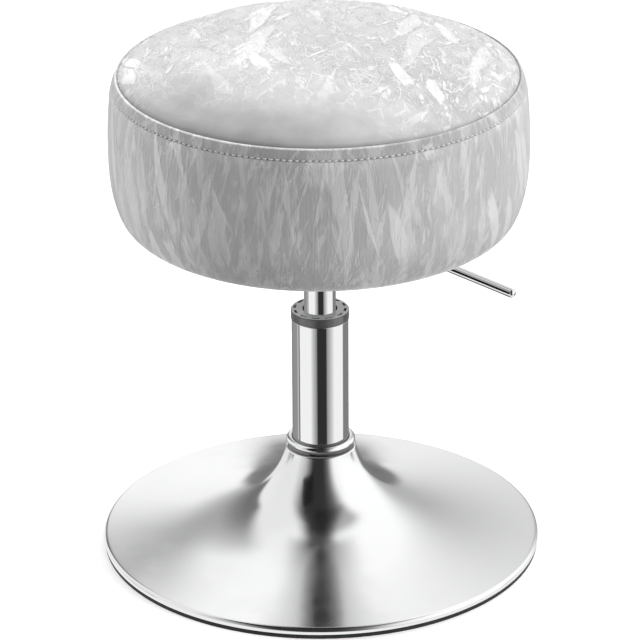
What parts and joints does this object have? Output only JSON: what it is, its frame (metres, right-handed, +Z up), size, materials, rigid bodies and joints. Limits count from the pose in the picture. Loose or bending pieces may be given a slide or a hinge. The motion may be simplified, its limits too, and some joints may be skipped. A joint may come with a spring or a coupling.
{
  "type": "swivel stool",
  "caption": "Round padded stool seat in silver crushed velvet on a chromed gas-lift column and a trumpet base; it swivels, rises and falls, with a release lever under the seat.",
  "frame": {"origin": "on the floor, under the middle of the base", "axes": "+Z up along the column, -Y towards the front, +X to the right"},
  "size_m": [0.388, 0.388, 0.474],
  "materials": {
    "chromed_steel": "polished",
    "black_rubber": "matte",
    "bare_steel": "satin",
    "cage_brass": "satin",
    "grey_plastic": "satin",
    "black_paint": "satin",
    "zinc_plate": "satin",
    "plywood": "matte",
    "foam": "matte",
    "silver_velvet": "satin",
    "dust_cloth": "matte"
  },
  "bodies": {
    "base": {"base_shell": "chromed_steel", "floor_ring": "black_rubber", "base_sleeve": "bare_steel", "brace_plate": "bare_steel", "trim_ring": "chromed_steel", "stand_tube": "chromed_steel", "guide_bush": "grey_plastic", "lower_race": "bare_steel"},
    "bearing": {"ball_cage": "cage_brass", "bearing_ball_1": "bare_steel", "bearing_ball_2": "bare_steel", "bearing_ball_3": "bare_steel", "bearing_ball_4": "bare_steel", "bearing_ball_5": "bare_steel", "bearing_ball_6": "bare_steel", "bearing_ball_7": "bare_steel", "bearing_ball_8": "bare_steel"},
    "swivel": {"piston_rod": "bare_steel", "piston": "bare_steel", "piston_seal": "black_rubber", "upper_race": "bare_steel", "bumper": "black_rubber", "clip_washer": "bare_steel", "retaining_clip": "bare_steel"},
    "seat": {"pressure_tube": "chromed_steel", "rod_gland": "bare_steel", "valve_body": "bare_steel", "taper_socket": "black_paint", "seat_plate": "black_paint", "lever_bracket": "black_paint", "lever_pivot": "bare_steel", "seat_board": "plywood", "dust_cover": "dust_cloth", "seat_foam": "foam", "top_panel": "silver_velvet", "side_band": "silver_velvet", "seat_bolt_1": "zinc_plate", "seat_bolt_2": "zinc_plate", "seat_bolt_3": "zinc_plate", "seat_bolt_4": "zinc_plate", "bolt_washer_1": "zinc_plate", "bolt_washer_2": "zinc_plate", "bolt_washer_3": "zinc_plate", "bolt_washer_4": "zinc_plate", "tee_nut_1": "zinc_plate", "tee_nut_2": "zinc_plate", "tee_nut_3": "zinc_plate", "tee_nut_4": "zinc_plate"},
    "lever": {"release_lever": "chromed_steel"},
    "valve_pin": {"release_pin": "bare_steel"}
  },
  "joints": [
    {"name": "seat_swivel", "type": "hinge", "parent": "base", "child": "swivel", "pos_m": [0, 0, 0.025], "axis": [0, 0, 1], "continuous": true},
    {"name": "bearing_turn", "type": "hinge", "parent": "base", "child": "bearing", "pos_m": [0, 0, 0.0214], "axis": [0, 0, 1], "continuous": true},
    {"name": "seat_lift", "type": "slide", "parent": "swivel", "child": "seat", "axis": [0, 0, 1], "range_m": [-0.034, 0.065]},
    {"name": "lever_pull", "type": "hinge", "parent": "seat", "child": "lever", "pos_m": [0.03774, -0.02451, 0.2969], "axis": [-0.5446, -0.8387, 0], "range_deg": [0, 5], "stiffness_Nm_per_rad": 1},
    {"name": "pin_press", "type": "slide", "parent": "seat", "child": "valve_pin", "axis": [0, 0, 1], "range_m": [-0.004, 0]}
  ],
  "couplings": [
    {"joint": "bearing_turn", "follows": "seat_swivel", "ratio": 0.5},
    {"joint": "pin_press", "follows": "lever_pull", "m_per_rad": -0.045}
  ]
}
